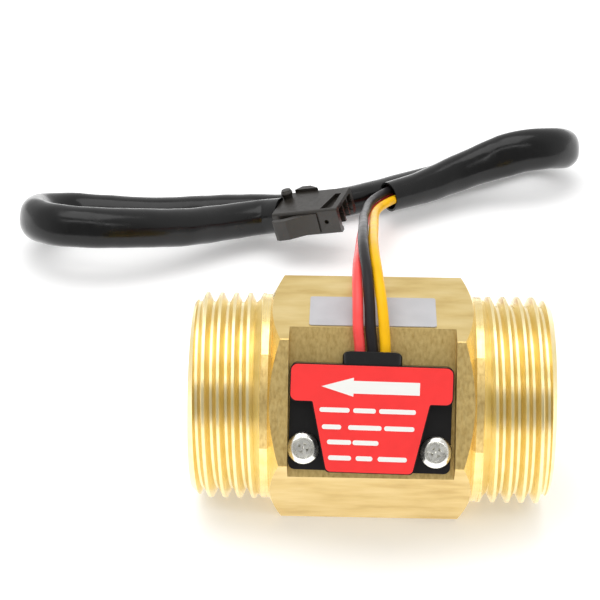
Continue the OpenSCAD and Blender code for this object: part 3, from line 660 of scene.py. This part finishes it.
def add_connector(finish):
    """The connector with a knob on its peg, a plate under its lever that blocks light from below so that the
    gap above it is in shade, a recess in its top and wide mouths.
    """
    bm = cad_solid("plug_housing")
    bm = combine(bm, lathe(KNOB, steps=32, place=PLUG @ Matrix.Translation(PEG)), "UNION")
    # Plate that keeps light from below out of the gap under the lever, so that the gap is in shade
    gap_shade_plate = [(x, -PLUG_W / 2 - out) for x, out in GAP_SHADE_PLATE]
    bm = combine(bm, prism(gap_shade_plate, *GAP_SHADE_PLATE_LEVELS, PLUG), "UNION")
    bm = combine(bm, prism(TOP_RECESS, *TOP_RECESS_LEVELS, PLUG), "DIFFERENCE")
    for k in (-1, 0, 1):
        mouth = rounded_rect(*MOUTH, k * TERMINAL_PITCH)
        bm = combine(bm, prism(mouth, PLUG_L - MOUTH_DEPTH, PLUG_L + SPARE, PLUG_AHEAD), "DIFFERENCE")
    obj = to_object("connector_shell", bm, smooth_angle=30)
    ease(obj, width=0.12)
    stand_in(obj, "plug_housing", finish)
    return obj


# Prints on the flow label
def add_print(finish):
    """White arrow and plain bars in four rows, a little raised on the red label."""
    level = FACE_TOP + LABEL_T
    head, half_head, half_shaft, length = 4.9, 1.45, 0.97, 15.0
    tip = (-7.65, 2.66, 0)
    arrow = [(0, 0), (head, -half_head), (head, -half_shaft), (length, -half_shaft), (length, half_shaft),
             (head, half_shaft), (head, half_head)]
    bm = prism(arrow, level, level + PRINT_T, HOUSING @ Matrix.Translation(tip))
    rows = [
        (-0.9, [(-7.85, -3.25), (-2.7, 0.75), (1.25, 6.85)]),
        (-3.5, [(-7.4, -4.45), (-3.4, 1.7), (2.1, 6.7)]),
        (-5.8, [(-6.55, -2.85), (-2.65, 1.3)]),
        (-8.2, [(-6.3, -2.8), (-2.1, 0.45), (1.25, 5.7)]),
    ]
    bar_h = 0.72
    bar_r = 0.45 * bar_h
    for y, words in rows:
        for x0, x1 in words:
            bar = rounded_rect(x1 - x0, bar_h, bar_r, (x0 + x1) / 2, y)
            piece = prism(bar, level, level + PRINT_T, HOUSING)
            scratch = bpy.data.meshes.new("scratch")
            piece.to_mesh(scratch)
            piece.free()
            bm.from_mesh(scratch)
            bpy.data.meshes.remove(scratch)
    obj = to_object("label_print", bm)
    obj.data.materials.append(finish)
    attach(obj, "root")


# Materials
def material(name, color, roughness, metallic=0.0, **sockets):
    """New material; sockets are more inputs of its shader, with _ for the spaces in their names."""
    made = bpy.data.materials.new(name)
    made.use_nodes = True
    shader = shader_of(made)
    shader.inputs["Base Color"].default_value = (*linear(color), 1)
    shader.inputs["Roughness"].default_value = roughness
    shader.inputs["Metallic"].default_value = metallic
    for key, value in sockets.items():
        shader.inputs[key.replace("_", " ")].default_value = value
    return made


def shader_of(made):
    return made.node_tree.nodes["Principled BSDF"]


def linear(color):
    return [c / 12.92 if c <= 0.04045 else ((c + 0.055) / 1.055) ** 2.4 for c in color]


def add_node(made, kind, **settings):
    node = made.node_tree.nodes.new(kind)
    for key, value in settings.items():
        setattr(node, key, value)
    return node


def connect(made, source, target):
    made.node_tree.links.new(source, target)


def noise(made, scale, stretch=(1, 1, 1), detail=3.0, coords=None):
    """Noise with its scale in features to the millimetre."""
    if coords is None:
        coords = add_node(made, "ShaderNodeTexCoord").outputs["Object"]
    place = add_node(made, "ShaderNodeMapping")
    place.inputs["Scale"].default_value = [s * scale / MM for s in stretch]
    texture = add_node(made, "ShaderNodeTexNoise")
    texture.inputs["Scale"].default_value = 1.0
    texture.inputs["Detail"].default_value = detail
    connect(made, coords, place.inputs["Vector"])
    connect(made, place.outputs["Vector"], texture.inputs["Vector"])
    return texture.outputs["Fac"]


def turned_coords(made):
    """Coordinates that are the same all round the pipe axis: along it, and away from it."""
    spot = add_node(made, "ShaderNodeSeparateXYZ")
    connect(made, add_node(made, "ShaderNodeTexCoord").outputs["Object"], spot.inputs[0])
    lift = add_node(made, "ShaderNodeMath", operation="SUBTRACT")
    lift.inputs[1].default_value = AXIS_Z * MM
    connect(made, spot.outputs["Z"], lift.inputs[0])
    across = add_node(made, "ShaderNodeCombineXYZ")
    connect(made, spot.outputs["Y"], across.inputs["Y"])
    connect(made, lift.outputs[0], across.inputs["Z"])
    reach = add_node(made, "ShaderNodeVectorMath", operation="LENGTH")
    connect(made, across.outputs[0], reach.inputs[0])
    ring = add_node(made, "ShaderNodeCombineXYZ")
    connect(made, spot.outputs["X"], ring.inputs["X"])
    connect(made, reach.outputs["Value"], ring.inputs["Y"])
    return ring.outputs[0]


def paint(made, factor, colors, low=NOISE_LOW, high=NOISE_HIGH):
    """Base colour from a ramp of colours over the factor."""
    ramp = add_node(made, "ShaderNodeValToRGB")
    elements = ramp.color_ramp.elements
    for i, color in enumerate(colors):
        position = low + (high - low) * i / (len(colors) - 1)
        element = elements[i] if i < 2 else elements.new(position)
        element.position = position
        element.color = (*linear(color), 1)
    connect(made, factor, ramp.inputs["Fac"])
    connect(made, ramp.outputs["Color"], shader_of(made).inputs["Base Color"])


def roughen(made, factor, low, high):
    """Roughness between two values by the factor."""
    span = add_node(made, "ShaderNodeMapRange")
    span.inputs["From Min"].default_value = NOISE_LOW
    span.inputs["From Max"].default_value = NOISE_HIGH
    span.inputs["To Min"].default_value = low
    span.inputs["To Max"].default_value = high
    connect(made, factor, span.inputs["Value"])
    connect(made, span.outputs["Result"], shader_of(made).inputs["Roughness"])


def relief(made, factor, depth):
    """Bump of the given depth in millimetres, on top of any that the material already has."""
    shader = shader_of(made)
    bump = add_node(made, "ShaderNodeBump")
    bump.inputs["Strength"].default_value = 1.0
    bump.inputs["Distance"].default_value = depth * MM
    connect(made, factor, bump.inputs["Height"])
    if shader.inputs["Normal"].links:
        connect(made, shader.inputs["Normal"].links[0].from_socket, bump.inputs["Normal"])
    connect(made, bump.outputs["Normal"], shader.inputs["Normal"])


def ringed_brass(name, color, roughness, tones, depth):
    """Brass with the fine rings round the pipe axis that turning leaves."""
    made = material(name, color, roughness, 1.0)
    rings = turned_coords(made)
    paint(made, noise(made, 0.5), tones)
    roughen(made, noise(made, 3, coords=rings), roughness - 0.06, roughness + 0.06)
    relief(made, noise(made, 9, coords=rings, detail=2), depth)
    return made


def turned_brass():
    tones = [(0.91, 0.8, 0.52), (0.95, 0.86, 0.61)]
    return ringed_brass("brass_turned", (0.93, 0.83, 0.57), 0.24, tones, 0.006)


def thread_brass():
    tones = [(0.92, 0.85, 0.62), (0.95, 0.88, 0.69)]
    return ringed_brass("brass_thread", (0.94, 0.87, 0.66), 0.3, tones, 0.004)


def drawn_brass():
    """Brass of the hexagon's flats, with long marks along the pipe and shallow dents."""
    made = material("brass_drawn", (0.84, 0.74, 0.5), 0.35, 1.0)
    tones = [(0.76, 0.64, 0.38), (0.84, 0.74, 0.49), (0.88, 0.79, 0.56)]
    paint(made, noise(made, 0.35, (0.3, 1, 1), 6), tones, 0.25, 0.7)
    roughen(made, noise(made, 2, (0.1, 1, 1)), 0.28, 0.42)
    relief(made, noise(made, 9, (0.04, 1, 1), 4), 0.016)
    relief(made, noise(made, 0.35, (0.5, 1, 1), 2), 0.025)
    return made


def milled_brass():
    """Brass of the pocket and its flat, with marks across the pipe and a rough grain."""
    made = material("brass_milled", (0.86, 0.75, 0.5), 0.42, 1.0)
    tones = [(0.73, 0.61, 0.37), (0.82, 0.71, 0.46), (0.87, 0.77, 0.52)]
    paint(made, noise(made, 2.2, (1, 0.5, 0.5), 8), tones, 0.25, 0.75)
    roughen(made, noise(made, 3, (1, 0.4, 0.4)), 0.34, 0.5)
    relief(made, noise(made, 5, (1, 0.12, 0.12), 4), 0.014)
    relief(made, noise(made, 5, detail=4), 0.02)
    return made


def moulded(name, color, roughness, grain=0.006, clouds=0.1, sheen=0.5):
    """Moulded plastic with a fine grain and faint clouds in its colour."""
    made = material(name, color, roughness, Specular_IOR_Level=sheen)
    dark = [c * (1 - clouds) for c in color]
    light = [min(1, c * (1 + clouds) + 0.004) for c in color]
    paint(made, noise(made, 0.3), [dark, light])
    roughen(made, noise(made, 1.2), roughness - 0.06, roughness + 0.06)
    relief(made, noise(made, 9, detail=2), grain)
    return made


def vinyl(name, color, roughness, sheen):
    """Smooth vinyl with a faintly uneven surface."""
    made = material(name, color, roughness, Specular_IOR_Level=sheen)
    paint(made, noise(made, 0.15), [[c * 0.94 for c in color], [min(1, c * 1.05 + 0.004) for c in color]])
    roughen(made, noise(made, 0.6), roughness - 0.06, roughness + 0.08)
    relief(made, noise(made, 0.6, detail=2), 0.02)
    return made


def steel(name, color, roughness):
    """Bright metal with faint clouds and a fine grain."""
    made = material(name, color, roughness, 1.0)
    paint(made, noise(made, 0.8), [[c * 0.85 for c in color], [min(1, c * 1.06) for c in color]])
    roughen(made, noise(made, 1.5), roughness - 0.05, roughness + 0.08)
    relief(made, noise(made, 4), 0.004)
    return made


# Floor, world and lights
def add_floor():
    """Large pale floor that keeps the shadow of what stands on it and looks white around it."""
    side = 8000.0
    floor = to_object("floor", bmesh_from([(x, y, 0) for x, y in rect(side, side)], [(0, 1, 2, 3)]))
    made = material("floor", (0.93, 0.93, 0.93), 1.0, Specular_IOR_Level=0.0)
    shader = shader_of(made)
    path = add_node(made, "ShaderNodeLightPath")
    total = None
    for ray, glow in (("Is Camera Ray", 0.25), ("Is Glossy Ray", 0.7), ("Is Transmission Ray", 0.25)):
        lift = add_node(made, "ShaderNodeMath", operation="MULTIPLY_ADD")
        lift.inputs[1].default_value = glow
        lift.inputs[2].default_value = 0
        connect(made, path.outputs[ray], lift.inputs[0])
        if total:
            connect(made, total, lift.inputs[2])
        total = lift.outputs[0]
    shader.inputs["Emission Color"].default_value = (1, 1, 1, 1)
    connect(made, total, shader.inputs["Emission Strength"])
    floor.data.materials.append(made)


def add_world():
    """White all round, dimmer on the side in front of the face that carries the sensor."""
    world = bpy.data.worlds.new("studio")
    bpy.context.scene.world = world
    world.use_nodes = True
    tree = world.node_tree
    tree.nodes.clear()
    out = tree.nodes.new("ShaderNodeOutputWorld")
    coords = tree.nodes.new("ShaderNodeTexCoord")
    front = tree.nodes.new("ShaderNodeVectorMath")
    front.operation = "DOT_PRODUCT"
    front.inputs[1].default_value = Vector((0, -1, 0.3)).normalized()
    tree.links.new(coords.outputs["Generated"], front.inputs[0])
    dim = tree.nodes.new("ShaderNodeMapRange")
    dim.interpolation_type = "SMOOTHSTEP"
    dim.inputs["From Min"].default_value = 0.35
    dim.inputs["From Max"].default_value = 0.95
    dim.inputs["To Min"].default_value = 1.0
    dim.inputs["To Max"].default_value = 0.5
    tree.links.new(front.outputs["Value"], dim.inputs["Value"])
    path = tree.nodes.new("ShaderNodeLightPath")
    lights = tree.nodes.new("ShaderNodeBackground")
    tree.links.new(dim.outputs["Result"], lights.inputs["Strength"])
    backdrop = tree.nodes.new("ShaderNodeBackground")
    both = tree.nodes.new("ShaderNodeMixShader")
    for shader in (lights, backdrop):
        shader.inputs["Color"].default_value = (1, 1, 1, 1)
    tree.links.new(path.outputs["Is Camera Ray"], both.inputs["Fac"])
    tree.links.new(lights.outputs[0], both.inputs[1])
    tree.links.new(backdrop.outputs[0], both.inputs[2])
    tree.links.new(both.outputs[0], out.inputs["Surface"])


def add_softbox(name, at, towards, size, power):
    data = bpy.data.lights.new(name, "AREA")
    data.shape = "RECTANGLE"
    data.size, data.size_y = (s * MM for s in size)
    data.energy = power
    lamp = bpy.data.objects.new(name, data)
    lamp.location = Vector(at) * MM
    lamp.rotation_euler = (Vector(towards) - Vector(at)).to_track_quat("-Z", "Y").to_euler()
    bpy.context.scene.collection.objects.link(lamp)


# Whole scene
bpy.context.scene.view_settings.view_transform = "Standard"
add_camera()
red_wire = add_wire("red_wire", -WIRE_SPACING, RED_ROUTE, side=1, up=-1.1)
black_wire = add_wire("black_wire", 0, BLACK_ROUTE, side=1.2, up=0.9)
yellow_wire = add_wire("yellow_wire", WIRE_SPACING, YELLOW_ROUTE, side=-1, up=-0.2)
connector = add_connector(moulded("plug_black", (0.135, 0.12, 0.1), 0.38, grain=0.005, clouds=0.08))
sleeve = add_sleeve()
for piece, finish in (
    (red_wire, vinyl("red_insulation_vinyl", (0.96, 0.29, 0.28), 0.32, sheen=0.35)),
    (black_wire, vinyl("black_insulation_vinyl", (0.15, 0.14, 0.145), 0.35, sheen=0.12)),
    (yellow_wire, vinyl("yellow_insulation_vinyl", (0.95, 0.72, 0.06), 0.38, sheen=0.15)),
    (sleeve, vinyl("sleeve_black_vinyl", (0.02, 0.02, 0.02), 0.2, sheen=0.32)),
):
    piece.data.materials.append(finish)

add_body([turned_brass(), drawn_brass(), milled_brass(), thread_brass()])
add_print(material("print_white", (0.95, 0.95, 0.93), 0.5))

nickel = steel("nickel", (0.7, 0.69, 0.66), 0.25)
tin = steel("tin", (0.75, 0.72, 0.65), 0.3)
white = moulded("moulded_white", (0.9, 0.89, 0.85), 0.45)
graphite = moulded("graphite", (0.13, 0.13, 0.14), 0.4)
silver = moulded("label_silver", (0.7, 0.7, 0.71), 0.35, grain=0.001, clouds=0.02, sheen=0.4)
shell = moulded("housing_black", (0.045, 0.035, 0.035), 0.4, grain=0.005, sheen=0.3)
add_gland(moulded("gland_rubber_black", (0.045, 0.045, 0.045), 0.2, grain=0.004))
zinc = steel("zinc_steel", (0.95, 0.94, 0.91), 0.24)
add_screw("screw_left", side=-1, turn=20, finish=zinc)
add_screw("screw_right", side=1, turn=-12, finish=zinc)
for name, finish, edge in (
    ("inlet_guide", white, 0.15), ("outlet_support", white, 0.15),
    ("inlet_bearing", graphite, 0.1), ("outlet_bearing", graphite, 0.1),
    ("rotor", moulded("moulded_ivory", (0.87, 0.85, 0.78), 0.4), 0.12),
    ("rotor_shaft", steel("ground_steel", (0.75, 0.75, 0.75), 0.2), 0.1),
    ("magnet_front", nickel, 0.1), ("magnet_rear", nickel, 0.1),
    ("retaining_ring", steel("spring", (0.5, 0.5, 0.5), 0.35), 0.08),
    ("sensor_housing", shell, 0.15),
    ("circuit_board", moulded("board_green", (0.08, 0.3, 0.15), 0.35), 0),
    ("hall_sensor", moulded("chip_black", (0.08, 0.08, 0.08), 0.5), 0.1),
    ("flow_label", moulded("label_red", (0.97, 0.19, 0.185), 0.4, grain=0.001, clouds=0.015), 0.04),
    ("silver_label", silver, 0.03),
    ("terminal_near", tin, 0), ("terminal_middle", tin, 0), ("terminal_far", tin, 0),
):
    dress(name, finish, edge)

add_floor()
add_world()
add_softbox("top_softbox", (-80, 60, 600), (0, 20, 0), (500, 500), 1.5)
add_softbox("front_strip", (-60, -330, 480), (0, 40, 10), (800, 60), 0.5)
